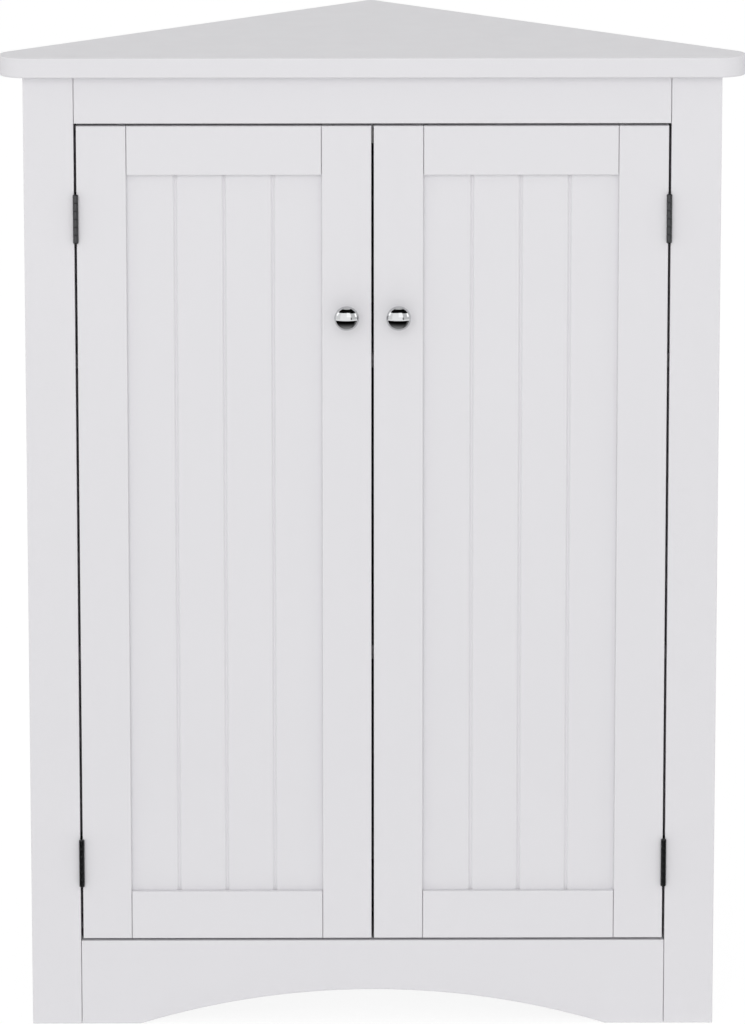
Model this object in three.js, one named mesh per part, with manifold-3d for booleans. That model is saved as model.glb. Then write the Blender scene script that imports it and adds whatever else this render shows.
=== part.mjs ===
// Corner cupboard: a three-sided floor cupboard that stands in the corner of a room.
// Millimetres, +Z up. The flat front faces -Y and the square back corner points to +Y.
// The pieces are placed from the front face of the face frame, which is y = 0 here, and the
// whole group is then moved so that the origin is under the middle of the bounding box.

import * as THREE from 'three';
import { mergeVertices } from 'three/addons/utils/BufferGeometryUtils.js';
import Module from 'manifold-3d';

const wasm = await Module();
wasm.setup();

// Driving sizes of the whole cupboard
const height = 800;
const bodyWidth = 556.5;

// Top board
const topThickness = 16;
const topFrontOverhang = 12;
const topSideOverhang = 17;
const topCornerRadius = 23;
const topEdgeRound = 1;

// Face frame
const boardThickness = 16;
const postWidth = 40;
const topRailHeight = 38.4;
const bottomRailHeight = 70.6;
const archEndToPost = 48;
const archRise = 29;
const edgeEase = 0.5;
const frameTenonThickness = 6;
const frameTenonLength = 12;
const frameTenonShoulder = 6;

// Carcase behind the face frame
const sideThickness = 12;
const backPostWidth = 30;
const floorThickness = 12;
const cleatSection = 18;
const cleatEndsShares = [0.12, 0.88];

// Shelves and their pegs
const shelfCount = 2;
const shelfThickness = 12;
const shelfSetback = 10;
const shelfSideClearance = 1;
const pegRadius = 2.5;
const pegFlangeRadius = 4;
const pegFlangeThickness = 1.5;
const pegDepth = 8;
const pegReach = 9;
const pegHoleFloor = 0.5;
const pegRowSpacing = 32;
const pegRowsPerShelf = 3;
const pegColumnShares = [0.2, 0.74];

// Doors
const doorGap = 2;
const stileWidth = 39.6;
const railWidth = 39.6;
const infillThickness = 5;
const tongueLength = 6;
const grooveSpareDepth = 1;
const infillBoards = 4;
const beadWidth = 3.8;
const beadDepth = 2;

// Hinges
const upperHingeDrop = 74.5;
const lowerHingeRise = 64.2;
const hingeHeight = 39;
const knucklesPerHinge = 6;
const knuckleRadius = 2.25;
const knuckleWall = 1;
const knuckleEndGap = 0.15;
const knuckleFaceGap = 0.15;
const hingeAxisInset = 0.35;
const leafGap = 0.4;
const leafDepth = 13;
const leafFrontSetback = 0.2;
const pinClearance = 0.15;
const pinHeadHeight = 0.7;
const pinHeadRadius = 1.9;

// Knobs
const knobDrop = 152.8;
const knobRadius = 9.9;
const knobHeadThickness = 11.9;
const knobProjection = 22;
const neckRadius = 4;
const knobFootRadius = 5.5;
const knobFootThickness = 1.5;
const screwRadius = 2;
const screwGrip = 8;
const screwClearance = 0.3;
const screwHeadRadius = 4;
const screwHeadThickness = 2.4;
const screwSlotWidth = 1.2;
const screwSlotDepth = 1;
const screwSlotLengthShare = 0.6;

// Magnetic catch
const catchWidth = 46;
const catchDepth = 13;
const catchHeight = 12;
const catchBlockWidth = 60;
const catchBlockDepth = 28;
const catchDrop = 5;
const poleThickness = 1.2;
const poleProjection = 0.6;
const poleSpacing = 5;
const strikeWidth = 16;
const strikeThickness = 1;
const strikeClearance = 0.3;

// Clearances shared by the whole cupboard
const seatGap = 0.3;
const cutOverrun = 5;

// Numbers of facets
const cornerSteps = 10;
const archSteps = 28;
const edgeSteps = 2;
const knuckleSides = 16;
const smallSides = 12;
const knobSides = 24;
const knobHeadSteps = 12;

// Places worked out from the sizes
const bodyHalf = bodyWidth / 2;
const openingHalf = bodyHalf - postWidth;
const archHalfSpan = openingHalf - archEndToPost;
const topUnderside = height - topThickness;
const openingTop = topUnderside - topRailHeight;
const sideOuterReach = bodyHalf + boardThickness;
const sideInnerReach = sideOuterReach - sideThickness * Math.SQRT2;
const topReach = sideOuterReach + topSideOverhang * Math.SQRT2;
const doorBottom = bottomRailHeight + doorGap;
const doorTop = openingTop - doorGap;
const doorHingeEdge = openingHalf - doorGap;
const doorMeetingEdge = doorGap / 2;
const doorBack = boardThickness;
const backPostFront = sideOuterReach - backPostWidth * Math.SQRT2;
const sideOuterLength = bodyHalf * Math.SQRT2;
const sideInnerLength = sideOuterLength - sideThickness - backPostWidth - seatGap;
const grooveDepth = tongueLength + grooveSpareDepth;
const floorUnderside = bottomRailHeight - floorThickness;
const hingeAxisX = doorHingeEdge + doorGap / 2 - hingeAxisInset;
const hingeAxisY = -(knuckleRadius + knuckleFaceGap);
const knobX = doorMeetingEdge + stileWidth / 2;
const knobZ = doorTop - knobDrop;
const catchTop = doorTop - catchDrop;

// Materials

function paint() {
  return new THREE.MeshStandardMaterial({ color: 0xe3e2e5, roughness: 0.5, metalness: 0 });
}

function chrome() {
  return new THREE.MeshStandardMaterial({ color: 0xd9dadc, roughness: 0.08, metalness: 1 });
}

function darkMetal() {
  return new THREE.MeshStandardMaterial({ color: 0x3a3b3d, roughness: 0.35, metalness: 1 });
}

function zincPlate() {
  return new THREE.MeshStandardMaterial({ color: 0xb4b6b8, roughness: 0.3, metalness: 1 });
}

function whitePlastic() {
  return new THREE.MeshStandardMaterial({ color: 0xe8e8e6, roughness: 0.45, metalness: 0 });
}

// Directions
const upward = new THREE.Vector3(0, 0, 1);
const forward = new THREE.Vector3(0, -1, 0);
const backward = new THREE.Vector3(0, 1, 0);

// Shape helpers

function toSolid(geometry) {
  const bare = geometry.clone();
  bare.deleteAttribute('normal');
  bare.deleteAttribute('uv');
  const merged = mergeVertices(bare);
  const vertProperties = new Float32Array(merged.attributes.position.array);
  const triVerts = new Uint32Array(merged.index.array);
  return new wasm.Manifold(new wasm.Mesh({ numProp: 3, vertProperties, triVerts }));
}

function toGeometry(solid) {
  const { vertProperties, triVerts } = solid.getMesh();
  const geometry = new THREE.BufferGeometry();
  geometry.setAttribute('position', new THREE.BufferAttribute(vertProperties, 3));
  geometry.setIndex(new THREE.BufferAttribute(triVerts, 1));
  return geometry;
}

function joined(body, additions, cuts) {
  let solid = toSolid(body);
  for (const addition of additions) solid = solid.add(toSolid(addition));
  for (const cut of cuts) solid = solid.subtract(toSolid(cut));
  return toGeometry(solid);
}

function boxBetween(low, high) {
  const size = high.map((value, i) => value - low[i]);
  const box = new THREE.BoxGeometry(...size);
  box.translate(...high.map((value, i) => (value + low[i]) / 2));
  return box;
}

function arcPoints(centreX, centreY, radius, startAngle, endAngle, steps) {
  const points = [];
  for (let i = 0; i <= steps; i += 1) {
    const angle = startAngle + (endAngle - startAngle) * (i / steps);
    points.push([centreX + radius * Math.cos(angle), centreY + radius * Math.sin(angle)]);
  }
  return points;
}

// A plate with the given plan, from z = bottom to z = top, its long edges eased by a small round
function plate(plan, bottom, top, ease, steps) {
  const shape = new THREE.Shape(plan.map(([x, y]) => new THREE.Vector2(x, y)));
  const geometry = new THREE.ExtrudeGeometry(shape, {
    depth: top - bottom - 2 * ease,
    bevelEnabled: ease > 0,
    bevelThickness: ease,
    bevelSize: ease,
    bevelOffset: -ease,
    bevelSegments: steps,
    steps: 1,
  });
  geometry.translate(0, 0, bottom + ease);
  return geometry;
}

// A board that stands in the front plane: its outline is in x and z, and it is one board thick
function faceBoard(outline) {
  const geometry = plate(outline, 0, boardThickness, edgeEase, 1);
  const upright = new THREE.Matrix4().makeBasis(
    new THREE.Vector3(1, 0, 0),
    new THREE.Vector3(0, 0, 1),
    new THREE.Vector3(0, -1, 0),
  );
  geometry.applyMatrix4(upright);
  geometry.translate(0, boardThickness, 0);
  return geometry;
}

function rectangle(x1, x2, z1, z2) {
  const left = Math.min(x1, x2);
  const right = Math.max(x1, x2);
  return [[left, z1], [right, z1], [right, z2], [left, z2]];
}

function boxAcross(x1, x2, y1, y2, z1, z2) {
  return boxBetween([Math.min(x1, x2), y1, z1], [Math.max(x1, x2), y2, z2]);
}

// A turned piece: the profile is [radius, distance] pairs along its axis, from one end to the other
function turned(profile, sides, origin, direction) {
  const geometry = new THREE.LatheGeometry(profile.map(([r, d]) => new THREE.Vector2(r, d)), sides);
  const along = new THREE.Quaternion().setFromUnitVectors(new THREE.Vector3(0, 1, 0), direction);
  geometry.applyQuaternion(along);
  geometry.translate(origin.x, origin.y, origin.z);
  return geometry;
}

function rod(radius, length, sides, origin, direction) {
  return turned([[0, 0], [radius, 0], [radius, length], [0, length]], sides, origin, direction);
}

function addMesh(group, name, geometry, material) {
  const mesh = new THREE.Mesh(geometry, material);
  mesh.name = name;
  group.add(mesh);
}

// Top board: a right-angled triangle with a sharp back corner and rounded front corners

function topPlan() {
  const halfWidth = topReach + topFrontOverhang;
  const centreX = halfWidth - topCornerRadius * (1 + Math.SQRT2);
  const centreY = topCornerRadius - topFrontOverhang;
  const front = -Math.PI / 2;
  const square = Math.PI / 4;
  return [
    [0, topReach],
    ...arcPoints(-centreX, centreY, topCornerRadius, Math.PI - square, Math.PI - front, cornerSteps),
    ...arcPoints(centreX, centreY, topCornerRadius, front, square, cornerSteps),
  ];
}

function addTop(group) {
  addMesh(group, 'top_board', plate(topPlan(), topUnderside, height, topEdgeRound, edgeSteps), paint());
}

// Face frame: two posts, a plain top rail and an arched bottom rail, tenoned together

function frameTenonHeights(bottom, top) {
  return [bottom + frameTenonShoulder, top - frameTenonShoulder];
}

function tenonDepths(thickness, clearance) {
  const middle = boardThickness / 2;
  return [middle - thickness / 2 - clearance, middle + thickness / 2 + clearance];
}

function post(side) {
  const [front, back] = tenonDepths(frameTenonThickness, seatGap);
  const mortiseEnd = openingHalf + frameTenonLength + seatGap;
  const mouth = openingHalf - cutOverrun;
  const mortises = [[archRise, bottomRailHeight], [openingTop, topUnderside]].map(([bottom, top]) => {
    const [low, high] = frameTenonHeights(bottom, top);
    return boxAcross(side * mouth, side * mortiseEnd, front, back, low - seatGap, high + seatGap);
  });
  const outline = rectangle(side * openingHalf, side * bodyHalf, 0, topUnderside);
  return joined(faceBoard(outline), [], mortises);
}

function frameTenon(side, bottom, top) {
  const [front, back] = tenonDepths(frameTenonThickness, 0);
  const [low, high] = frameTenonHeights(bottom, top);
  const root = openingHalf - frameTenonShoulder;
  return boxAcross(side * root, side * (openingHalf + frameTenonLength), front, back, low, high);
}

function topRail() {
  const outline = rectangle(-openingHalf, openingHalf, openingTop, topUnderside);
  const tenons = [-1, 1].map((side) => frameTenon(side, openingTop, topUnderside));
  return joined(faceBoard(outline), tenons, []);
}

function bottomRail() {
  const archRadius = (archHalfSpan ** 2 + archRise ** 2) / (2 * archRise);
  const halfAngle = Math.asin(archHalfSpan / archRadius);
  const crown = Math.PI / 2;
  const outline = [
    [-openingHalf, 0],
    ...arcPoints(0, archRise - archRadius, archRadius, crown + halfAngle, crown - halfAngle, archSteps),
    [openingHalf, 0],
    [openingHalf, bottomRailHeight],
    [-openingHalf, bottomRailHeight],
  ];
  const tenons = [-1, 1].map((side) => frameTenon(side, archRise, bottomRailHeight));
  return joined(faceBoard(outline), tenons, []);
}

function addFaceFrame(group) {
  addMesh(group, 'left_post', post(-1), paint());
  addMesh(group, 'right_post', post(1), paint());
  addMesh(group, 'top_rail', topRail(), paint());
  addMesh(group, 'bottom_rail', bottomRail(), paint());
}

// Carcase: two side panels that run back at 45 degrees to a square post, a floor and its cleats

// A point by a side panel: so far along its inner face from the front end, and so far in from that face
function besideSide(side, along, inward, z) {
  const frontX = sideInnerReach - boardThickness;
  const x = frontX - (along + inward) * Math.SQRT1_2;
  const y = boardThickness + (along - inward) * Math.SQRT1_2;
  return new THREE.Vector3(side * x, y, z);
}

function outwardFrom(side) {
  return new THREE.Vector3(side * Math.SQRT1_2, Math.SQRT1_2, 0);
}

function shelfUnderside(index) {
  const clearHeight = topUnderside - bottomRailHeight;
  const bay = (clearHeight - shelfCount * shelfThickness) / (shelfCount + 1);
  return bottomRailHeight + bay + index * (bay + shelfThickness);
}

function pegAxisHeight(index) {
  return shelfUnderside(index) - pegRadius - seatGap;
}

function pegHoles(side) {
  const holes = [];
  for (let shelf = 0; shelf < shelfCount; shelf += 1) {
    for (let row = 0; row < pegRowsPerShelf; row += 1) {
      const offset = (row - (pegRowsPerShelf - 1) / 2) * pegRowSpacing;
      for (const share of pegColumnShares) {
        const z = pegAxisHeight(shelf) + offset;
        const mouth = besideSide(side, share * sideInnerLength, cutOverrun, z);
        const depth = cutOverrun + pegDepth + pegHoleFloor;
        holes.push(rod(pegRadius + seatGap, depth, smallSides, mouth, outwardFrom(side)));
      }
    }
  }
  return holes;
}

function sidePanel(side) {
  const corners = [
    besideSide(side, 0, 0, 0),
    besideSide(side, sideInnerLength, 0, 0),
    besideSide(side, sideInnerLength, -sideThickness, 0),
    besideSide(side, -sideThickness, -sideThickness, 0),
  ];
  const panel = plate(corners.map(({ x, y }) => [x, y]), 0, topUnderside, 0, 0);
  return joined(panel, [], pegHoles(side));
}

function backPost() {
  const half = backPostWidth * Math.SQRT1_2;
  const middle = sideOuterReach - half;
  const plan = [[0, middle - half], [half, middle], [0, middle + half], [-half, middle]];
  return plate(plan, 0, topUnderside, 0, 0);
}

// The plan of a board that fills the carcase, from its front edge back to the square post
function fillingPlan(front, sideClearance) {
  const reach = sideInnerReach - sideClearance * Math.SQRT2;
  const back = backPostFront - sideClearance;
  return [[front - reach, front], [reach - front, front], [reach - back, back], [back - reach, back]];
}

function cleat(side, bottom) {
  const [start, end] = cleatEndsShares.map((share) => share * sideInnerLength);
  const corners = [
    besideSide(side, start, seatGap, 0),
    besideSide(side, end, seatGap, 0),
    besideSide(side, end, seatGap + cleatSection, 0),
    besideSide(side, start, seatGap + cleatSection, 0),
  ];
  return plate(corners.map(({ x, y }) => [x, y]), bottom, bottom + cleatSection, 0, 0);
}

function addCarcase(group) {
  const floor = plate(fillingPlan(boardThickness, seatGap), floorUnderside, bottomRailHeight, 0, 0);
  addMesh(group, 'floor_panel', floor, paint());
  addMesh(group, 'back_post', backPost(), paint());
  for (const [hand, side] of [['left', -1], ['right', 1]]) {
    addMesh(group, `${hand}_side_panel`, sidePanel(side), paint());
    addMesh(group, `${hand}_top_cleat`, cleat(side, topUnderside - cleatSection), paint());
    addMesh(group, `${hand}_floor_cleat`, cleat(side, floorUnderside - cleatSection), paint());
  }
}

// Shelves, each on four pegs that push into holes in the side panels

function peg(side, shelf, share) {
  const start = besideSide(side, share * sideInnerLength, -pegDepth, pegAxisHeight(shelf));
  const flangeStart = pegDepth + seatGap;
  const flangeEnd = flangeStart + pegFlangeThickness;
  const profile = [
    [0, 0],
    [pegRadius, 0],
    [pegRadius, flangeStart],
    [pegFlangeRadius, flangeStart],
    [pegFlangeRadius, flangeEnd],
    [pegRadius, flangeEnd],
    [pegRadius, flangeEnd + pegReach],
    [0, flangeEnd + pegReach],
  ];
  return turned(profile, smallSides, start, outwardFrom(side).negate());
}

function shelf(index) {
  const bottom = shelfUnderside(index);
  const flangeRoom = seatGap + pegFlangeThickness;
  const plan = fillingPlan(doorBack + shelfSetback, shelfSideClearance + flangeRoom);
  return plate(plan, bottom, bottom + shelfThickness, edgeEase, 1);
}

function addShelves(group) {
  ['lower', 'upper'].forEach((level, index) => {
    addMesh(group, `${level}_shelf`, shelf(index), paint());
    for (const [hand, side] of [['left', -1], ['right', 1]]) {
      ['front', 'rear'].forEach((place, column) => {
        const name = `${level}_shelf_peg_${hand}_${place}`;
        addMesh(group, name, peg(side, index, pegColumnShares[column]), zincPlate());
      });
    }
  });
}

// Doors: stiles and rails round a panel of grooved boards held in a slot

const [slotFront, slotBack] = tenonDepths(infillThickness, seatGap);
const [tongueFront, tongueBack] = tenonDepths(infillThickness, 0);

function stile(side, outerEdge, innerEdge, cuts) {
  const toPanel = Math.sign(innerEdge - outerEdge);
  const slotMouth = innerEdge + toPanel * cutOverrun;
  const slotFloor = innerEdge - toPanel * grooveDepth;
  const slot = boxAcross(
    side * slotFloor, side * slotMouth, slotFront, slotBack,
    doorBottom - cutOverrun, doorTop + cutOverrun,
  );
  const outline = rectangle(side * outerEdge, side * innerEdge, doorBottom, doorTop);
  return joined(faceBoard(outline), [], [slot, ...cuts]);
}

function doorRail(side, outerEdge, innerEdge) {
  const nearX = doorMeetingEdge + stileWidth;
  const farX = doorHingeEdge - stileWidth;
  const toPanel = Math.sign(innerEdge - outerEdge);
  const slotFloor = innerEdge - toPanel * grooveDepth;
  const slotMouth = innerEdge + toPanel * cutOverrun;
  const slot = boxAcross(
    side * (nearX - cutOverrun), side * (farX + cutOverrun), slotFront, slotBack,
    Math.min(slotFloor, slotMouth), Math.max(slotFloor, slotMouth),
  );
  const tenonEdge = outerEdge + toPanel * edgeEase;
  const tenon = boxAcross(
    side * (nearX - tongueLength), side * (farX + tongueLength), tongueFront, tongueBack,
    Math.min(tenonEdge, slotFloor), Math.max(tenonEdge, slotFloor),
  );
  const [bottom, top] = [outerEdge, innerEdge].sort((a, b) => a - b);
  const board = faceBoard(rectangle(side * nearX, side * farX, bottom, top));
  return joined(board, [tenon], [slot]);
}

// The panel's plan has one V groove between each two boards, in its front face
function infill(side) {
  const nearX = doorMeetingEdge + stileWidth;
  const farX = doorHingeEdge - stileWidth;
  const boardPitch = (farX - nearX) / infillBoards;
  const frontLine = [];
  for (let i = 1; i < infillBoards; i += 1) {
    const x = nearX + i * boardPitch;
    frontLine.push([x - beadWidth / 2, tongueFront]);
    frontLine.push([x, tongueFront + beadDepth]);
    frontLine.push([x + beadWidth / 2, tongueFront]);
  }
  const plan = [
    [nearX - tongueLength, tongueFront],
    ...frontLine,
    [farX + tongueLength, tongueFront],
    [farX + tongueLength, tongueBack],
    [nearX - tongueLength, tongueBack],
  ].map(([x, y]) => [side * x, y]);
  const bottom = doorBottom + railWidth - tongueLength;
  const top = doorTop - railWidth + tongueLength;
  return plate(plan, bottom, top, 0, 0);
}

function addDoor(group, hand, side) {
  const hingeStile = stile(side, doorHingeEdge, doorHingeEdge - stileWidth, []);
  const holeStart = new THREE.Vector3(side * knobX, -cutOverrun, knobZ);
  const holeLength = boardThickness + 2 * cutOverrun;
  const screwHole = rod(screwRadius + screwClearance, holeLength, smallSides, holeStart, backward);
  const meetingStile = stile(side, doorMeetingEdge, doorMeetingEdge + stileWidth, [screwHole]);
  addMesh(group, `${hand}_door_hinge_stile`, hingeStile, paint());
  addMesh(group, `${hand}_door_meeting_stile`, meetingStile, paint());
  addMesh(group, `${hand}_door_top_rail`, doorRail(side, doorTop, doorTop - railWidth), paint());
  addMesh(group, `${hand}_door_bottom_rail`, doorRail(side, doorBottom, doorBottom + railWidth), paint());
  addMesh(group, `${hand}_door_panel`, infill(side), paint());
}

// Knobs: a flattened ball on a short neck, held by a screw from inside the door

function knobProfile() {
  const halfHead = knobHeadThickness / 2;
  const headCentre = knobProjection - halfHead;
  const neckAngle = Math.asin(neckRadius / knobRadius);
  const threadRadius = screwRadius + screwClearance;
  const threadDepth = screwGrip + screwClearance;
  const head = [];
  for (let i = 0; i <= knobHeadSteps; i += 1) {
    const angle = neckAngle + (Math.PI - neckAngle) * (i / knobHeadSteps);
    const radius = i === knobHeadSteps ? 0 : knobRadius * Math.sin(angle);
    head.push([radius, headCentre - halfHead * Math.cos(angle)]);
  }
  return [
    [0, threadDepth],
    [threadRadius, threadDepth],
    [threadRadius, 0],
    [knobFootRadius, 0],
    [knobFootRadius, knobFootThickness],
    [neckRadius, knobFootThickness],
    ...head,
  ];
}

function knobScrew(side) {
  const shankEnd = boardThickness + screwGrip;
  const profile = [
    [0, -screwHeadThickness],
    [screwHeadRadius, -screwHeadThickness],
    [screwHeadRadius, 0],
    [screwRadius, 0],
    [screwRadius, shankEnd],
    [0, shankEnd],
  ];
  const seat = new THREE.Vector3(side * knobX, doorBack, knobZ);
  const screw = turned(profile, smallSides, seat, forward);
  const slotMouth = doorBack + screwHeadThickness + cutOverrun;
  const slotFloor = doorBack + screwHeadThickness - screwSlotDepth;
  const long = screwHeadRadius * screwSlotLengthShare;
  const short = screwSlotWidth / 2;
  const crossSlots = [[long, short], [short, long]].map(([halfX, halfZ]) => boxAcross(
    side * knobX - halfX, side * knobX + halfX, slotFloor, slotMouth, knobZ - halfZ, knobZ + halfZ,
  ));
  return joined(screw, [], crossSlots);
}

function addKnob(group, hand, side) {
  const seat = new THREE.Vector3(side * knobX, 0, knobZ);
  const knob = turned(knobProfile(), knobSides, seat, forward);
  addMesh(group, `${hand}_knob`, knob, chrome());
  addMesh(group, `${hand}_knob_screw`, knobScrew(side), zincPlate());
}

// Butt hinges: two leaves in the gap beside the door, with interleaved knuckles on a headed pin

const leafThickness = (doorGap - leafGap) / 2;
const knucklePitch = hingeHeight / knucklesPerHinge;
const boreRadius = knuckleRadius - knuckleWall;
const pinRadius = boreRadius - pinClearance;

function hingeLeaf(side, centreZ, outerX, innerX, firstKnuckle) {
  const bottom = centreZ - hingeHeight / 2;
  const top = bottom + hingeHeight;
  const tabBack = leafFrontSetback + leafThickness;
  const leaf = boxAcross(side * outerX, side * innerX, leafFrontSetback, leafDepth, bottom, top);
  const additions = [];
  for (let i = firstKnuckle; i < knucklesPerHinge; i += 2) {
    const low = bottom + i * knucklePitch + knuckleEndGap / 2;
    const high = low + knucklePitch - knuckleEndGap;
    const foot = new THREE.Vector3(side * hingeAxisX, hingeAxisY, low);
    additions.push(rod(knuckleRadius, high - low, knuckleSides, foot, upward));
    additions.push(boxAcross(side * outerX, side * innerX, hingeAxisY, tabBack, low, high));
  }
  const boreFoot = new THREE.Vector3(side * hingeAxisX, hingeAxisY, bottom - cutOverrun);
  const bore = rod(boreRadius, hingeHeight + 2 * cutOverrun, knuckleSides, boreFoot, upward);
  return joined(leaf, additions, [bore]);
}

function hingePin(side, centreZ) {
  const half = hingeHeight / 2;
  const profile = [
    [0, -half - pinHeadHeight],
    [pinHeadRadius * Math.SQRT1_2, -half - pinHeadHeight * Math.SQRT1_2],
    [pinHeadRadius, -half],
    [pinRadius, -half],
    [pinRadius, half],
    [pinHeadRadius, half],
    [pinHeadRadius * Math.SQRT1_2, half + pinHeadHeight * Math.SQRT1_2],
    [0, half + pinHeadHeight],
  ];
  const centre = new THREE.Vector3(side * hingeAxisX, hingeAxisY, centreZ);
  return turned(profile, knuckleSides, centre, upward);
}

function addHinges(group, hand, side) {
  const centres = { upper: doorTop - upperHingeDrop, lower: doorBottom + lowerHingeRise };
  for (const [level, centreZ] of Object.entries(centres)) {
    const name = `${hand}_${level}_hinge`;
    const frameLeaf = hingeLeaf(side, centreZ, openingHalf, openingHalf - leafThickness, 0);
    const doorLeaf = hingeLeaf(side, centreZ, doorHingeEdge + leafThickness, doorHingeEdge, 1);
    addMesh(group, `${name}_frame_leaf`, frameLeaf, darkMetal());
    addMesh(group, `${name}_door_leaf`, doorLeaf, darkMetal());
    addMesh(group, `${name}_pin`, hingePin(side, centreZ), darkMetal());
  }
}

// Magnetic catch under a block behind the top rail, and a steel strike plate on each door

function magneticCatch() {
  const front = doorBack + strikeThickness + strikeClearance + poleProjection;
  const bottom = catchTop - catchHeight;
  const body = boxAcross(-catchWidth / 2, catchWidth / 2, front, front + catchDepth, bottom, catchTop);
  const middle = doorMeetingEdge + catchWidth / 4;
  const poles = [];
  for (const side of [-1, 1]) {
    for (const step of [-1, 1]) {
      const z = (bottom + catchTop) / 2 + step * poleSpacing / 2;
      poles.push(boxAcross(
        side * (middle - strikeWidth / 2), side * (middle + strikeWidth / 2),
        front - poleProjection, front + poleProjection, z - poleThickness / 2, z + poleThickness / 2,
      ));
    }
  }
  return joined(body, poles, []);
}

function strikePlate(side) {
  const middle = doorMeetingEdge + catchWidth / 4;
  return boxAcross(
    side * (middle - strikeWidth / 2), side * (middle + strikeWidth / 2),
    doorBack, doorBack + strikeThickness, catchTop - catchHeight, catchTop,
  );
}

function addCatch(group) {
  const halfBlock = catchBlockWidth / 2;
  const blockBack = boardThickness + catchBlockDepth;
  const block = boxAcross(-halfBlock, halfBlock, boardThickness, blockBack, catchTop, topUnderside);
  addMesh(group, 'catch_block', block, paint());
  addMesh(group, 'magnetic_catch', magneticCatch(), whitePlastic());
}

// The whole cupboard

function buildCupboard() {
  const cupboard = new THREE.Group();
  cupboard.name = 'corner_cupboard';
  addTop(cupboard);
  addFaceFrame(cupboard);
  addCarcase(cupboard);
  addShelves(cupboard);
  addCatch(cupboard);
  for (const [hand, side] of [['left', -1], ['right', 1]]) {
    addDoor(cupboard, hand, side);
    addKnob(cupboard, hand, side);
    addHinges(cupboard, hand, side);
    addMesh(cupboard, `${hand}_strike_plate`, strikePlate(side), zincPlate());
  }
  const frontOfAll = -Math.max(knobProjection, topFrontOverhang);
  cupboard.position.y = -(frontOfAll + topReach) / 2;
  return cupboard;
}

export default buildCupboard();
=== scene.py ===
import math

import bmesh
import bpy
from mathutils import Matrix, Vector


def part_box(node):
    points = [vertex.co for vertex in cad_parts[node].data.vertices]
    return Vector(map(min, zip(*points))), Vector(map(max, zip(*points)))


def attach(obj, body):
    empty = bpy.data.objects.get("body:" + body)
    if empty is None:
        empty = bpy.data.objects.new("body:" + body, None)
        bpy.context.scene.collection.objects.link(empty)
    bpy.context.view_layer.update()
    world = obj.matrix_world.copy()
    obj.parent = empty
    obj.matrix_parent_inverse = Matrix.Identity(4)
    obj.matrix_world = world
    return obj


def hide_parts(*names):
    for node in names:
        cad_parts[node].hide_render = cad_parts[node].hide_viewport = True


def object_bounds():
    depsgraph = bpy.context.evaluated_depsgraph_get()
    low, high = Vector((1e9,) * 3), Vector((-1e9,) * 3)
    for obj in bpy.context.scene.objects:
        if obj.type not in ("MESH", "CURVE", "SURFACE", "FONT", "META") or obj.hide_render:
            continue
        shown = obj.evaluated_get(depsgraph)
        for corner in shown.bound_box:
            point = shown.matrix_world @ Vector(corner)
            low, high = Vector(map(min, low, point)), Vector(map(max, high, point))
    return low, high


# Corner cupboard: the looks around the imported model, in metres and in its frame.
# The doors face -Y, the square back corner points to +Y, and the cupboard stands on z = 0.

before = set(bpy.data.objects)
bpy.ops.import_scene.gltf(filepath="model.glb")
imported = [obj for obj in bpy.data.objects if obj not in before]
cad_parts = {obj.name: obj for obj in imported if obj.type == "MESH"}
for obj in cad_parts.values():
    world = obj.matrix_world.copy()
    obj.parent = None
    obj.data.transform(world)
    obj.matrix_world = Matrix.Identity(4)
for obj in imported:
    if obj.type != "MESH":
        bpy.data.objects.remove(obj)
cad_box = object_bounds()

MM = 0.001
# Each hand as the viewer sees it, with the sign of its x
HANDS = (("left", -1), ("right", 1))
LEVELS = ("upper", "lower")
CARCASE = "carcase"
FORWARD = Vector((0, -1, 0))
UPWARD = Vector((0, 0, 1))

# Camera, from the lines of the photograph
CAMERA_PLACE = (-0.0260, -5.4656, 1.5997)
CAMERA_YAW = 0.00487
CAMERA_PITCH = 0.21669
CAMERA_ROLL = 0.00024
CAMERA_LENS = 237.502
CAMERA_SENSOR = 36.0
CAMERA_CLIP = 240.0

# Colours, as linear red, green, blue and opacity. A pair is what a material is mottled between.
PAINT_TINTS = (0.752, 0.745, 0.768, 1), (0.770, 0.762, 0.785, 1)
# A painted highlight: the paint's rounded edges are painted lighter than its flat faces
PAINT_EDGE_HIGHLIGHT = (0.79, 0.782, 0.80, 1)
PAINT_SPECK = (0.66, 0.652, 0.665, 1)
CHROME_TINTS = (0.545, 0.552, 0.562, 1), (0.59, 0.595, 0.603, 1)
HINGE_TINTS = (0.05, 0.051, 0.053, 1), (0.085, 0.086, 0.09, 1)
HINGE_RUBBED = (0.18, 0.18, 0.185, 1)
ZINC_TINTS = (0.62, 0.65, 0.69, 1), (0.72, 0.71, 0.66, 1)
PLASTIC_TINTS = (0.78, 0.78, 0.765, 1), (0.82, 0.82, 0.81, 1)

# Roughness of the smoothest and the roughest spots; paint is rougher on cut edges and smoother on its rounds
PAINT_ROUGHNESS = (0.38, 0.46)
CHROME_ROUGHNESS = (0.03, 0.10)
HINGE_ROUGHNESS = (0.15, 0.26)
ZINC_ROUGHNESS = (0.18, 0.3)
PLASTIC_ROUGHNESS = (0.40, 0.55)
CUT_EDGE_DRYNESS = 0.1
RUBBED_SMOOTHNESS = 0.08
# How far the rounds are painted toward that lighter highlight colour
EDGE_HIGHLIGHT_SHARE = 0.5

# Relief of the surfaces, and how many hairs or grains they have in a metre along each axis
PEEL_HEIGHT = 0.010 * MM
NAP_HEIGHT = 0.010 * MM
CHROME_HAIR_HEIGHT = 0.0002 * MM
HINGE_GRAIN_HEIGHT = 0.002 * MM
ZINC_GRAIN_HEIGHT = 0.0012 * MM
PLASTIC_GRAIN_HEIGHT = 0.006 * MM
CHROME_HAIRS = (900, 900, 9000)
HINGE_GRAIN = (2600, 2600, 700)

# Where a Mix node keeps its colour sockets, since it gives the same names to several kinds
MIX_FIRST, MIX_SECOND, MIX_RESULT = 6, 7, 2

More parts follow.
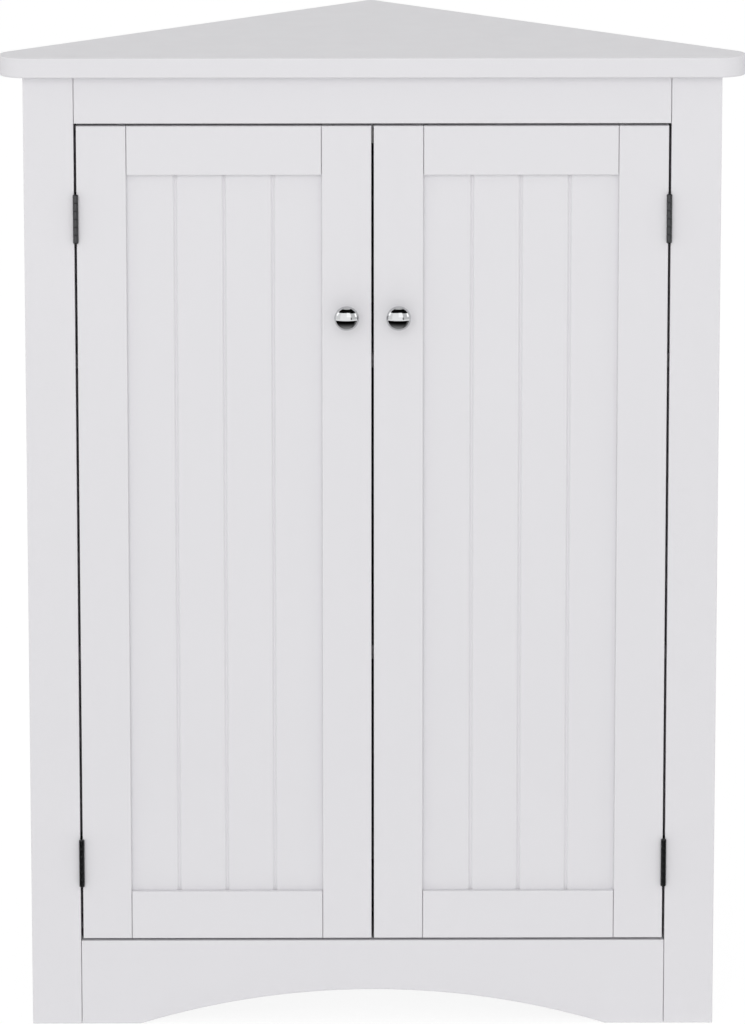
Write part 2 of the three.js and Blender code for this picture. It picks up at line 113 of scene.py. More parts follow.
# Boards. A face turned from the broad faces by an angle whose cosine is under CUT_EDGE_TURN is a cut edge.
# A rail's corners within JOINT_ZONE of the boards beside it are its shoulders, drawn back by JOINT_OPENING.
MERGE_DISTANCE = 0.005 * MM
FLAT_ANGLE = math.radians(0.2)
ARRIS_ANGLE = math.radians(24)
SMOOTH_ANGLE = math.radians(34)
BOARD_ROUND = 0.22 * MM
PANEL_ROUND = 0.6 * MM
ROUND_SEGMENTS = 3
FINE_ROUND_SEGMENTS = 2
FACE_WEIGHT = 100
CUT_EDGE_TURN = 0.5
JOINT_OPENING = 0.36 * MM
JOINT_ZONE = 0.6 * MM

# Top board. The normals on its rounded rim rise by a share between the two of TOP_ROUND_TILT.
TOP_CORNER_RADIUS = 23.05 * MM
TOP_ROUND = 1.2 * MM
TOP_CORNER_STEPS = 40
TOP_ROUND_STEPS = 6
TOP_ROUND_TILT = (0.05, 0.995)

# Turned pieces
TURNED_SEGMENTS = 96
SMALL_SEGMENTS = 40
KNUCKLE_SEGMENTS = 48
FILLET_STEPS = 5
DOME_STEPS = 8

# Knobs, and the screws that hold them. The head is a flattened circle, and the neck joins it at
# KNOB_NECK_ANGLE degrees round that circle from the axis.
KNOB_RADIUS = 9.9 * MM
KNOB_HEAD_THICKNESS = 11.9 * MM
KNOB_FOOT_RADIUS = 5.5 * MM
KNOB_FOOT_THICKNESS = 1.5 * MM
KNOB_WAIST_RADIUS = 3.7 * MM
KNOB_FOOT_ROUND = 0.4 * MM
KNOB_NECK_ANGLE = 28
KNOB_NECK_STEPS = 14
KNOB_HEAD_STEPS = 48
PAN_HEAD_RADIUS = 4 * MM
PAN_SHANK_RADIUS = 2 * MM

# Screws of every kind, whose sizes are their head radius, shank radius and length. The cross recess and
# FLUSH_RECESS are shares of the head's radius, PAN_RIM and PAN_RECESS of its thickness, PAN_TIP and
# FLUSH_TIP of the shank's radius, and FLUSH_TIP_START of the length.
SCREW_RIM = 0.12 * MM
SCREW_SUNK = 0.08 * MM
RECESS_REACH = 0.58
RECESS_WIDTH = 0.25
FLUSH_RECESS = 0.35
PAN_RIM = 0.3
PAN_RECESS = 0.5
PAN_TIP = 0.7
FLUSH_TIP = 0.3
FLUSH_TIP_START = 0.75
COUNTERSINK_CLEARANCE = 0.12 * MM

# Shelf pegs, along their axes from the end in the panel, and the heights of the holes round each peg
PEG_RADIUS = 2.5 * MM
PEG_FLANGE_RADIUS = 4 * MM
PEG_FLANGE_THICKNESS = 1.5 * MM
PEG_SUNK = 8 * MM
PEG_FLANGE_START = 8.3 * MM
PEG_CHAMFER = 0.5 * MM
PEG_FLANGE_ROUND = 0.35 * MM
PEG_ROUND_STEPS = 4
PEG_HOLE_RADIUS = 2.85 * MM
PEG_HOLE_DEPTH = 8.55 * MM
PEG_ROWS = (-32 * MM, 0, 32 * MM)

# Hinges
KNUCKLES = 6
KNUCKLE_GAP = 0.15 * MM
KNUCKLE_BORE = 1.25 * MM
KNUCKLE_ROUND = 0.18 * MM
LEAF_THICKNESS = 0.8 * MM
LEAF_SETBACK = 0.2 * MM
LEAF_CORNER = 1.6 * MM
LEAF_ROUND = 0.08 * MM
TAB_START = 1.15 * MM
PIN_RADIUS = 1.1 * MM
HINGE_SCREW_SPREAD = 11.5 * MM
HINGE_SCREW_DEPTH = 7 * MM
HINGE_SCREW = (2.3 * MM, 1.3 * MM, 9 * MM)

# Magnetic catch and strike plates
POLE_THICKNESS = 1.2 * MM
POLE_PROJECTION = 0.6 * MM
POLE_SPACING = 5 * MM
POLE_WIDTH = 16 * MM
POLE_DEPTH = 8 * MM
POCKET_DEPTH = 0.8 * MM
POCKET_MARGIN = 0.5 * MM
CATCH_ROUND = 0.7 * MM
CATCH_SCREW = (2.2 * MM, 1.2 * MM, 20 * MM)
CATCH_SCREW_THICKNESS = 0.9 * MM
CATCH_SCREW_INSET = 4 * MM
CATCH_SCREW_SETBACK = 3.2 * MM
STRIKE_CORNER = 2 * MM
STRIKE_ROUND = 0.2 * MM
STRIKE_SCREW = (2.2 * MM, 1.2 * MM, 9 * MM)

# Studio: lengths in metres, CARD_STEP in degrees, and levels where 1 lights a white surface to white
FLOOR_HALF = 60.0
FLOOR_LIT = 0.92
FLOOR_SEEN = 0.9
FLOOR_SHADOW = 0.14
BACKDROP = 1.0
AMBIENT = 0.71
BOUNCE_LEVEL = 0.11
BOUNCE_FADE = 0.5
KEY_LEVEL = 0.272
KEY_DISTANCE = 9.0
KEY_SIZE = 5.1
KEY_AZIMUTH = math.radians(-4)
KEY_ELEVATION = math.radians(18)
CARD_LIFT = 0.004
CARD_DISTANCE = 3.0
CARD_STEP = 10
CARD_SPACING = 0.05
SHADE_CLEAR = 0.001
GREY_CLEAR = 0.3
SHADE_OUTER = 1.85
SHADE_LEVEL = 0.4
SHADE_FADE = 0.45
SHADE_POWER = 2
CEILING_HEIGHT = 7.4
CEILING_LEVEL = 0.75

# What a mirror at knob height sees round the cupboard. Azimuths run from the front to the viewer's right and
# elevations up from the knobs, both in degrees. Then come the card's level and its row, nearer as it grows.
UPRIGHT_CARDS = (
    ("pale_card_left", (-150, -40), (-14, 32), 1.08, 0),
    ("white_card_front", (-40, 27), (-14, 32), 1.32, 0),
    ("grey_card_right", (27, 130), (-14, 32), 0.8, 0),
    ("dark_band_left", (-82, -52), (32, 66), 0.004, 1),
    ("dark_band_front", (-52, 24), (30.5, 66), 0.004, 1),
    ("dark_band_right", (24, 94), (28, 66), 0.004, 1),
    ("lamp_card_left", (-92, -66), (12, 32), 1.9, 2),
    ("lamp_card_front", (0, 23), (4, 32), 1.62, 2),
    ("lamp_card_right", (62, 84), (4, 25), 1.9, 2),
    ("dark_card_right", (23, 31), (-14, 2), 0.2, 2),
)
# Flat cards round the middle of the doors: azimuths, the distances of their two edges, height and level
FULL_CIRCLE = (-180, 180)
FLAT_CARDS = (
    ("pale_card_floor", FULL_CIRCLE, (SHADE_OUTER, CARD_DISTANCE), CARD_LIFT, 1.3),
    ("dim_card_floor", (58, 69), (GREY_CLEAR, SHADE_OUTER), 2 * CARD_LIFT, 0.07),
    ("grey_card_floor", (69, 130), (GREY_CLEAR, SHADE_OUTER), 2 * CARD_LIFT, 0.25),
    ("ceiling_card", FULL_CIRCLE, (SHADE_CLEAR, CARD_DISTANCE), CEILING_HEIGHT, CEILING_LEVEL),
)

DOORS_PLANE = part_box("left_door_panel")[0].y
KNOBS_HEIGHT = (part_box("left_knob")[0].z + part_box("left_knob")[1].z) / 2


# Camera

def camera_axes(yaw, pitch, roll):
    """The camera's right, up and back directions."""
    ahead = Vector((
        math.sin(yaw) * math.cos(pitch), math.cos(yaw) * math.cos(pitch), -math.sin(pitch),
    ))
    level = Vector((math.cos(yaw), -math.sin(yaw), 0))
    down = ahead.cross(level)
    right = level * math.cos(roll) + down * math.sin(roll)
    up = level * math.sin(roll) - down * math.cos(roll)
    return right, up, -ahead


def add_camera():
    data = bpy.data.cameras.new("photo_camera")
    data.sensor_width = CAMERA_SENSOR
    data.lens = CAMERA_LENS
    data.clip_end = CAMERA_CLIP
    camera = bpy.data.objects.new("photo_camera", data)
    turn = Matrix(camera_axes(CAMERA_YAW, CAMERA_PITCH, CAMERA_ROLL)).transposed()
    camera.matrix_world = Matrix.Translation(CAMERA_PLACE) @ turn.to_4x4()
    bpy.context.scene.collection.objects.link(camera)
    bpy.context.scene.camera = camera


# Node helpers

def add_node(tree, kind, settings=None, inputs=None):
    """A node with its settings, and each input set to a value or linked to a socket."""
    made = tree.nodes.new(kind)
    for key, value in (settings or {}).items():
        setattr(made, key, value)
    for key, value in (inputs or {}).items():
        if isinstance(value, bpy.types.NodeSocket):
            tree.links.new(value, made.inputs[key])
        else:
            made.inputs[key].default_value = value
    return made


def empty_material(name):
    material = bpy.data.materials.new(name)
    material.use_nodes = True
    material.node_tree.nodes.clear()
    return material, material.node_tree


def output(tree, shader):
    add_node(tree, "ShaderNodeOutputMaterial", inputs={"Surface": shader})


def object_place(tree):
    return add_node(tree, "ShaderNodeTexCoord").outputs["Object"]


def noise(tree, place, scale, detail, roughness=0.5):
    """Fine random mottling; scale is the number of blots in a metre."""
    made = add_node(tree, "ShaderNodeTexNoise", inputs={
        "Vector": place, "Scale": scale, "Detail": detail, "Roughness": roughness,
    })
    return made.outputs["Fac"]


def stretched(tree, place, scale):
    made = add_node(tree, "ShaderNodeMapping", inputs={"Vector": place, "Scale": scale})
    return made.outputs["Vector"]


def ramp(tree, value, low, high, start=0.3, end=0.7):
    """value between start and end, spread out between low and high."""
    made = add_node(tree, "ShaderNodeMapRange", inputs={
        "Value": value, "From Min": start, "From Max": end, "To Min": low, "To Max": high,
    })
    return made.outputs["Result"]


def math_node(tree, operation, first, second=0):
    made = add_node(tree, "ShaderNodeMath", {"operation": operation}, {0: first, 1: second})
    return made.outputs["Value"]


def blend_colour(tree, share, first, second):
    made = add_node(tree, "ShaderNodeMix", {"data_type": "RGBA"}, {
        0: share, MIX_FIRST: first, MIX_SECOND: second,
    })
    return made.outputs[MIX_RESULT]


def mask(tree, name):
    """A value from 0 to 1 that the mesh carries, such as which faces are rounded edges."""
    made = add_node(tree, "ShaderNodeAttribute", {"attribute_name": name})
    return made.outputs["Fac"]


def bump(tree, height, distance, before=None):
    inputs = {"Height": height, "Distance": distance, "Strength": 1.0}
    if before is not None:
        inputs["Normal"] = before
    return add_node(tree, "ShaderNodeBump", inputs=inputs).outputs["Normal"]


def principled(tree, inputs):
    return add_node(tree, "ShaderNodeBsdfPrincipled", inputs=inputs).outputs["BSDF"]


def grey(level):
    return (level, level, level, 1)


# Materials

def satin_paint():
    """White satin paint: faint orange peel, rounds rubbed smoother and painted lighter as a highlight, and
    drier paint on the boards' cut edges.
    """
    material, tree = empty_material("satin_paint")
    place = object_place(tree)
    rubbed = mask(tree, "round")
    cut = mask(tree, "cut_edge")
    colour = blend_colour(tree, noise(tree, place, scale=6, detail=3), *PAINT_TINTS)
    # Painted highlight: the rounded edges are painted lighter, while their lower roughness below is rubbed
    # paint
    colour = blend_colour(tree, math_node(tree, "MULTIPLY", rubbed, EDGE_HIGHLIGHT_SHARE), colour, PAINT_EDGE_HIGHLIGHT)
    speck = ramp(tree, noise(tree, place, scale=900, detail=2), low=0, high=0.25, start=0.66, end=0.72)
    colour = blend_colour(tree, math_node(tree, "MULTIPLY", speck, cut), colour, PAINT_SPECK)
    sheen = ramp(tree, noise(tree, place, scale=45, detail=3), *PAINT_ROUGHNESS)
    dried = math_node(tree, "ADD", sheen, math_node(tree, "MULTIPLY", cut, CUT_EDGE_DRYNESS))
    smoothed = math_node(tree, "SUBTRACT", dried, math_node(tree, "MULTIPLY", rubbed, RUBBED_SMOOTHNESS))
    peel = bump(tree, noise(tree, place, scale=620, detail=2), PEEL_HEIGHT)
    coarseness = ramp(tree, cut, low=0.35, high=1.6, start=0, end=1)
    nap = math_node(tree, "MULTIPLY", noise(tree, place, scale=2600, detail=3), coarseness)
    output(tree, principled(tree, {
        "Base Color": colour, "Roughness": smoothed, "IOR": 1.46, "Specular IOR Level": 0.3,
        "Normal": bump(tree, nap, NAP_HEIGHT, peel),
    }))
    return material


def polished_chrome():
    """Mirror plating with faint finger smudges and hairline polishing marks."""
    material, tree = empty_material("polished_chrome")
    place = object_place(tree)
    smudge = noise(tree, place, scale=120, detail=4, roughness=0.6)
    hairs = noise(tree, stretched(tree, place, CHROME_HAIRS), scale=1, detail=2)
    output(tree, principled(tree, {
        "Base Color": blend_colour(tree, noise(tree, place, scale=70, detail=2), *CHROME_TINTS),
        "Metallic": 1.0, "Roughness": ramp(tree, smudge, *CHROME_ROUGHNESS, start=0.35, end=0.75),
        "Normal": bump(tree, hairs, CHROME_HAIR_HEIGHT),
    }))
    return material


def dark_metal():
    """Black nickel plating, rubbed a little brighter on its edges, with a fine grain."""
    material, tree = empty_material("dark_metal")
    place = object_place(tree)
    grain = noise(tree, stretched(tree, place, HINGE_GRAIN), scale=1, detail=3)
    wear = ramp(tree, noise(tree, place, scale=500, detail=3), low=0.2, high=1)
    worn = math_node(tree, "MULTIPLY", mask(tree, "round"), wear)
    tint = blend_colour(tree, worn, blend_colour(tree, grain, *HINGE_TINTS), HINGE_RUBBED)
    output(tree, principled(tree, {
        "Base Color": tint, "Metallic": 1.0, "Roughness": ramp(tree, grain, *HINGE_ROUGHNESS),
        "Normal": bump(tree, grain, HINGE_GRAIN_HEIGHT),
    }))
    return material


def zinc_plate():
    """Bright zinc plating: a tumbled grain and faint blue and straw clouds."""
    material, tree = empty_material("zinc_plate")
    place = object_place(tree)
    grain = noise(tree, place, scale=2400, detail=3)
    output(tree, principled(tree, {
        "Base Color": blend_colour(tree, noise(tree, place, scale=260, detail=3), *ZINC_TINTS),
        "Metallic": 1.0, "Roughness": ramp(tree, grain, *ZINC_ROUGHNESS),
        "Normal": bump(tree, grain, ZINC_GRAIN_HEIGHT),
    }))
    return material


def moulded_plastic():
    """White moulded plastic with a fine matt texture from the mould."""
    material, tree = empty_material("moulded_plastic")
    place = object_place(tree)
    texture = noise(tree, place, scale=3000, detail=2)
    output(tree, principled(tree, {
        "Base Color": blend_colour(tree, noise(tree, place, scale=60, detail=2), *PLASTIC_TINTS),
        "Roughness": ramp(tree, texture, *PLASTIC_ROUGHNESS),
        "Normal": bump(tree, texture, PLASTIC_GRAIN_HEIGHT),
    }))
    return material


MATERIALS = {
    "painted_board": satin_paint(),
    "polished_chrome": polished_chrome(),
    "dark_hinge_metal": dark_metal(),
    "plated_steel": zinc_plate(),
    "white_plastic": moulded_plastic(),
}


# Mesh helpers

def linked(name, shape):
    """A new object that holds a bmesh, which is then freed."""
    mesh = bpy.data.meshes.new(name)
    bmesh.ops.recalc_face_normals(shape, faces=shape.faces)
    shape.to_mesh(mesh)
    shape.free()
    made = bpy.data.objects.new(name, mesh)
    bpy.context.scene.collection.objects.link(made)
    return made


def apply_modifiers(piece):
    """The piece's mesh as its modifiers leave it."""
    bpy.context.view_layer.update()
    evaluated = piece.evaluated_get(bpy.context.evaluated_depsgraph_get())
    finished = bpy.data.meshes.new_from_object(evaluated)
    piece.modifiers.clear()
    before = piece.data
    piece.data = finished
    bpy.data.meshes.remove(before)
    finished.name = piece.name


def round_edges(piece, width, segments=ROUND_SEGMENTS):
    """Rounds the sharp edges, and leaves a mask named round on the new faces."""
    # The bevel gives its faces the second of these two slots.
    marker = bpy.data.materials.new("marker")
    piece.data.materials.append(marker)
    piece.data.materials.append(marker)
    bevel = piece.modifiers.new("bevel", "BEVEL")
    bevel.width = width
    bevel.segments = segments
    bevel.limit_method = "ANGLE"
    bevel.angle_limit = ARRIS_ANGLE
    bevel.material = 1
    apply_modifiers(piece)
    rounds = [float(face.material_index == 1) for face in piece.data.polygons]
    store_mask(piece.data, "round", rounds)
    piece.data.materials.clear()
    for face in piece.data.polygons:
        face.material_index = 0
    bpy.data.materials.remove(marker)


def store_mask(mesh, name, values):
    attribute = mesh.attributes.get(name) or mesh.attributes.new(name, "FLOAT", "FACE")
    attribute.data.foreach_set("value", values)


def mark_cut_edges(piece):
    """A mask named cut_edge on the faces across the board, not along its two broad faces."""
    faces = piece.data.polygons
    broad = max(faces, key=lambda face: face.area).normal.copy()
    across_board = [abs(face.normal.dot(broad)) < CUT_EDGE_TURN for face in faces]
    store_mask(piece.data, "cut_edge", [float(value) for value in across_board])


def smooth(piece, weighted):
    mesh = piece.data
    mesh.shade_smooth()
    mesh.set_sharp_from_angle(angle=SMOOTH_ANGLE)
    if weighted:
        even = piece.modifiers.new("even", "WEIGHTED_NORMAL")
        even.keep_sharp = True
        even.weight = FACE_WEIGHT
        apply_modifiers(piece)


def finish_piece(piece, body, slot, stands_for=(), weighted=True):
    """Shading, material, the body that the piece moves with, and the CAD nodes that it stands for."""
    smooth(piece, weighted)
    piece.data.materials.clear()
    piece.data.materials.append(MATERIALS[slot])
    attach(piece, body)
    if stands_for:
        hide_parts(*stands_for)


def box_shape(low, high):
    shape = bmesh.new()
    bmesh.ops.create_cube(shape, size=1)
    size = Vector(high) - Vector(low)
    middle = (Vector(high) + Vector(low)) / 2
    placed = Matrix.Translation(middle) @ Matrix.Diagonal((*size, 1))
    bmesh.ops.transform(shape, matrix=placed, verts=shape.verts)
    return shape


def across(x1, x2, y1, y2, z1, z2):
    """A box between two corners given in any order along each axis."""
    pairs = [sorted(pair) for pair in ((x1, x2), (y1, y2), (z1, z2))]
    return box_shape([pair[0] for pair in pairs], [pair[1] for pair in pairs])


def arc(centre, radius, start, end, steps):
    """Points on an arc, with angles in degrees."""
    points = []
    for i in range(steps + 1):
        angle = math.radians(start + (end - start) * i / steps)
        points.append((centre[0] + radius * math.cos(angle), centre[1] + radius * math.sin(angle)))
    return points


def turned(profile, origin, direction, segments, closed=False):
    """A turned solid: the profile is (radius, distance) pairs, on the axis at both ends unless closed."""
    shape = bmesh.new()
    turn = UPWARD.rotation_difference(direction).to_matrix().to_4x4()
    angles = [math.tau * i / segments for i in range(segments)]
    circle = [(math.cos(angle), math.sin(angle)) for angle in angles]
    rings = []
    for radius, distance in profile:
        spokes = circle if radius else [(0, 0)]
        rings.append([shape.verts.new((radius * x, radius * y, distance)) for x, y in spokes])
    pairs = list(zip(rings, rings[1:] + rings[:1]))
    for first, second in pairs if closed else pairs[:-1]:
        for i in range(segments):
            places = (first, i), (first, i + 1), (second, i + 1), (second, i)
            corners = [ring[place % len(ring)] for ring, place in places]
            shape.faces.new(list(dict.fromkeys(corners)))
    bmesh.ops.transform(shape, matrix=Matrix.Translation(origin) @ turn, verts=shape.verts)
    return shape


def slab(outline, to_point, depth):
    """A prism: a flat outline of pairs, made into points by to_point and pushed along depth."""
    shape = bmesh.new()
    face = shape.faces.new([shape.verts.new(to_point(pair)) for pair in outline])
    grown = bmesh.ops.extrude_face_region(shape, geom=[face])
    pushed = [part for part in grown["geom"] if isinstance(part, bmesh.types.BMVert)]
    bmesh.ops.translate(shape, vec=depth, verts=pushed)
    return shape


def combine(piece, shapes, operation):
    """Joins the shapes to the piece, or cuts them out of it."""
    helpers = []
    for i, shape in enumerate(shapes):
        helper = linked(f"{piece.name}_helper_{i}", shape)
        step = piece.modifiers.new(helper.name, "BOOLEAN")
        step.operation = operation
        step.solver = "EXACT"
        step.object = helper
        helpers.append(helper)
    apply_modifiers(piece)
    for helper in helpers:
        mesh = helper.data
        bpy.data.objects.remove(helper)
        bpy.data.meshes.remove(mesh)


# Boards of the face frame, doors and carcase

def board_shape(node):
    """A CAD board's mesh with its doubled corners merged and each flat face whole."""
    shape = bmesh.new()
    shape.from_mesh(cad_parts[node].data)
    bmesh.ops.remove_doubles(shape, verts=shape.verts, dist=MERGE_DISTANCE)
    bmesh.ops.dissolve_limit(shape, angle_limit=FLAT_ANGLE, verts=shape.verts, edges=shape.edges)
    return shape


def open_shoulders(shape, low, high):
    """Draws a rail's two shoulders back a hair, so that its joints show as fine dark lines."""
    for vertex in shape.verts:
        for shoulder, inward in ((low, 1), (high, -1)):
            if abs(vertex.co.x - shoulder - inward * JOINT_ZONE / 2) <= JOINT_ZONE / 2 + MERGE_DISTANCE:
                vertex.co.x += inward * JOINT_OPENING


def dress_board(node, body, width=BOARD_ROUND, shoulders=None, cuts=()):
    """A CAD board in paint, with its shoulders opened, its cuts made and its edges rounded."""
    shape = board_shape(node)
    if shoulders:
        open_shoulders(shape, *shoulders)
    piece = linked(f"{node}_painted", shape)
    if cuts:
        combine(piece, cuts, "DIFFERENCE")
    round_edges(piece, width)
    mark_cut_edges(piece)
    finish_piece(piece, body, "painted_board", [node])


def inner_edges(left, right):
    """Where a rail meets the boards beside it."""
    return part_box(left)[1].x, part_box(right)[0].x


def add_carcase():
    between_posts = inner_edges("left_post", "right_post")
    for node in ("top_rail", "bottom_rail"):
        dress_board(node, CARCASE, shoulders=between_posts)
    plain = [
        "left_post", "right_post", "floor_panel", "back_post", "lower_shelf", "upper_shelf", "catch_block",
    ]
    for hand, _ in HANDS:
        plain += [f"{hand}_top_cleat", f"{hand}_floor_cleat"]
    for node in plain:
        dress_board(node, CARCASE)
    for hand, side in HANDS:
        dress_board(f"{hand}_side_panel", CARCASE, cuts=peg_holes(hand, side))


def add_doors():
    for hand, side in HANDS:
        body = f"{hand}_door"
        stiles = [f"{hand}_door_hinge_stile", f"{hand}_door_meeting_stile"]
        # Each door has its hinge stile on its own side, so the right door's stiles are turned round.
        between_stiles = inner_edges(*stiles[::-side])
        for node in stiles:
            dress_board(node, body)
        for node in (f"{hand}_door_top_rail", f"{hand}_door_bottom_rail"):
            dress_board(node, body, shoulders=between_stiles)
        dress_board(f"{hand}_door_panel", body, width=PANEL_ROUND)


# Top board

def top_outline(low, high, inset):
    """The triangular plan, its back edges at 45 degrees and its front corners round, drawn in by inset."""
    front = low.y + inset
    apex = high.y - inset * math.sqrt(2)
    radius = TOP_CORNER_RADIUS - inset
    reach = apex - front
    centre_x = reach - radius * (1 + math.sqrt(2))
    centre_y = front + radius
    left = arc((-centre_x, centre_y), radius, 135, 270, TOP_CORNER_STEPS)
    right = arc((centre_x, centre_y), radius, -90, 45, TOP_CORNER_STEPS)
    return [(0, apex), *left, *right]


def add_top():
    low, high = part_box("top_board")
    shape = bmesh.new()
    quarter = arc((0, 0), TOP_ROUND, 0, 90, TOP_ROUND_STEPS)
    layers = [(TOP_ROUND - x, low.z + TOP_ROUND - z) for x, z in reversed(quarter)]
    layers += [(TOP_ROUND - x, high.z - TOP_ROUND + z) for x, z in quarter]
    rings = []
    for inset, z in layers:
        rings.append([shape.verts.new((x, y, z)) for x, y in top_outline(low, high, inset)])
    for lower, upper in zip(rings, rings[1:]):
        for i in range(len(lower)):
            j = (i + 1) % len(lower)
            shape.faces.new((lower[i], lower[j], upper[j], upper[i]))
    shape.faces.new(rings[0])
    shape.faces.new(rings[-1])
    piece = linked("top_board_painted", shape)
    least, most = TOP_ROUND_TILT
    rounds = [least < abs(face.normal.z) < most for face in piece.data.polygons]
    store_mask(piece.data, "round", [float(value) for value in rounds])
    mark_cut_edges(piece)
    finish_piece(piece, CARCASE, "painted_board", ["top_board"])


# Screws

def dome(radius, start, height):
    """The profile of a domed end, from its rim at the distance start up to its tip on the axis."""
    quarter = arc((0, 0), 1, 0, 90, DOME_STEPS)[:-1]
    return [*((radius * x, start + height * z) for x, z in quarter), (0, start + height)]


def cross_recess(centre, direction, head, depth):
    """The two crossed slots of a screw head, as boxes that end depth below the head's face."""
    turn = UPWARD.rotation_difference(direction).to_matrix().to_4x4()
    long, short = head * RECESS_REACH, head * RECESS_WIDTH / 2
    shapes = []
    for half_x, half_y in ((long, short), (short, long)):
        shape = box_shape((-half_x, -half_y, -depth), (half_x, half_y, depth))
        bmesh.ops.transform(shape, matrix=Matrix.Translation(centre) @ turn, verts=shape.verts)
        shapes.append(shape)
    return shapes


def pan_screw(name, seat, direction, sizes, thickness, body, stands_for=()):
    """A domed screw; its head stands on seat and points along direction."""
    head, shank, length = sizes
    rim = thickness * PAN_RIM
    profile = [
        (0, -length), (shank * PAN_TIP, -length), (shank, shank - length), (shank, 0), (head, 0),
        *dome(head, rim, thickness - rim),
    ]
    piece = linked(name, turned(profile, seat, direction, SMALL_SEGMENTS))
    recess = cross_recess(seat + direction * thickness, direction, head, thickness * PAN_RECESS)
    combine(piece, recess, "DIFFERENCE")
    finish_piece(piece, body, "plated_steel", stands_for, weighted=False)


def flush_screw(name, face, direction, sizes, body, slot):
    """A countersunk screw whose flat head lies in the face of a plate."""
    head, shank, length = sizes
    profile = [
        (0, -length), (shank * FLUSH_TIP, -length), (shank, -length * FLUSH_TIP_START),
        (shank, shank - head), (head, -SCREW_RIM), (head - SCREW_RIM / 2, 0), (0, 0),
    ]
    piece = linked(name, turned(profile, face, direction, SMALL_SEGMENTS))
    combine(piece, cross_recess(face, direction, head, head * FLUSH_RECESS), "DIFFERENCE")
    finish_piece(piece, body, slot, weighted=False)


def countersink(face, direction, head, thickness):
    """The cutter for a screw's conical seat through a plate of this thickness."""
    sink = head + COUNTERSINK_CLEARANCE
    hole = sink - thickness
    profile = [(0, -2 * sink), (hole, -2 * sink), (hole, -thickness), (sink, 0), (sink, sink), (0, sink)]
    return turned(profile, face, direction, SMALL_SEGMENTS)


# Knobs

def knob_profile(length):
    """Foot, waisted neck and flattened ball, from the door out to the knob's tip."""
    half = KNOB_HEAD_THICKNESS / 2
    circle = arc((0, 0), 1, 180 - KNOB_NECK_ANGLE, 0, KNOB_HEAD_STEPS)
    head = [(KNOB_RADIUS * y, length - half + half * x) for x, y in circle]
    join_radius, join_distance = head[0]
    top = KNOB_FOOT_RADIUS - KNOB_FOOT_ROUND
    step = KNOB_FOOT_THICKNESS - KNOB_FOOT_ROUND
    foot = arc((top, step), KNOB_FOOT_ROUND, 0, 90, FILLET_STEPS)
    neck = []
    for i in range(1, KNOB_NECK_STEPS):
        share = i / KNOB_NECK_STEPS
        straight = top + (join_radius - top) * share
        # A parabola, deepest halfway along the neck
        waist = 4 * share * (1 - share) * (min(top, join_radius) - KNOB_WAIST_RADIUS)
        neck.append((straight - waist, KNOB_FOOT_THICKNESS + (join_distance - KNOB_FOOT_THICKNESS) * share))
    return [(0, 0), (KNOB_FOOT_RADIUS, 0), *foot, *neck, *head[:-1], (0, length)]


def add_knobs():
    for hand, _ in HANDS:
        low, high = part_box(f"{hand}_knob")
        screw_low, screw_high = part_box(f"{hand}_knob_screw")
        stile_low, stile_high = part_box(f"{hand}_door_meeting_stile")
        middle = (low + high) / 2
        seat = Vector((middle.x, stile_low.y, middle.z))
        shape = turned(knob_profile(seat.y - low.y), seat, FORWARD, TURNED_SEGMENTS)
        knob = linked(f"{hand}_knob_chrome", shape)
        finish_piece(knob, f"{hand}_door", "polished_chrome", [f"{hand}_knob"], weighted=False)
        back = Vector((middle.x, stile_high.y, middle.z))
        pan_screw(
            f"{hand}_knob_screw_plated", back, -FORWARD,
            (PAN_HEAD_RADIUS, PAN_SHANK_RADIUS, back.y - screw_low.y), screw_high.y - back.y,
            f"{hand}_door", [f"{hand}_knob_screw"],
        )


# Shelf pegs

def peg_nodes(hand):
    places = [(level, place) for level in ("lower", "upper") for place in ("front", "rear")]
    return [f"{level}_shelf_peg_{hand}_{place}" for level, place in places]


def peg_place(node, side):
    """Where a peg's axis starts, the way it points, and its length."""
    inward = Vector((-side, -1, 0)).normalized()
    beside = Vector((-side, 1, 0)).normalized()
    points = [vertex.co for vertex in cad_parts[node].data.vertices]
    start, end = (pick(point.dot(inward) for point in points) for pick in (min, max))
    offset = sum(pick(point.dot(beside) for point in points) for pick in (min, max)) / 2
    height = sum(pick(point.z for point in points) for pick in (min, max)) / 2
    return inward * start + beside * offset + UPWARD * height, inward, end - start


def peg_holes(hand, side):
    """Round cutters over the coarser holes of one side panel, three rows round each peg."""
    profile = [
        (0, -PEG_HOLE_DEPTH), (PEG_HOLE_RADIUS, -PEG_HOLE_DEPTH),
        (PEG_HOLE_RADIUS, PEG_HOLE_DEPTH), (0, PEG_HOLE_DEPTH),
    ]
    cutters = []
    for node in peg_nodes(hand):
        start, inward, _ = peg_place(node, side)
        mouth = start + inward * PEG_SUNK
        for row in PEG_ROWS:
            cutters.append(turned(profile, mouth + UPWARD * row, inward, SMALL_SEGMENTS))
    return cutters


def peg_profile(length):
    flange_end = PEG_FLANGE_START + PEG_FLANGE_THICKNESS
    edge = PEG_FLANGE_ROUND
    outer = PEG_FLANGE_RADIUS - edge
    near = arc((outer, PEG_FLANGE_START + edge), edge, -90, 0, PEG_ROUND_STEPS)
    far = arc((outer, flange_end - edge), edge, 0, 90, PEG_ROUND_STEPS)
    nose = PEG_RADIUS - PEG_CHAMFER
    return [
        (0, 0), (nose, 0), (PEG_RADIUS, PEG_CHAMFER), (PEG_RADIUS, PEG_FLANGE_START), *near, *far,
        (PEG_RADIUS, flange_end), (PEG_RADIUS, length - PEG_CHAMFER), (nose, length), (0, length),
    ]


def add_pegs():
    for hand, side in HANDS:
        for node in peg_nodes(hand):
            start, inward, length = peg_place(node, side)
            shape = turned(peg_profile(length), start, inward, SMALL_SEGMENTS)
            finish_piece(linked(f"{node}_plated", shape), CARCASE, "plated_steel", [node], weighted=False)


# Hinges

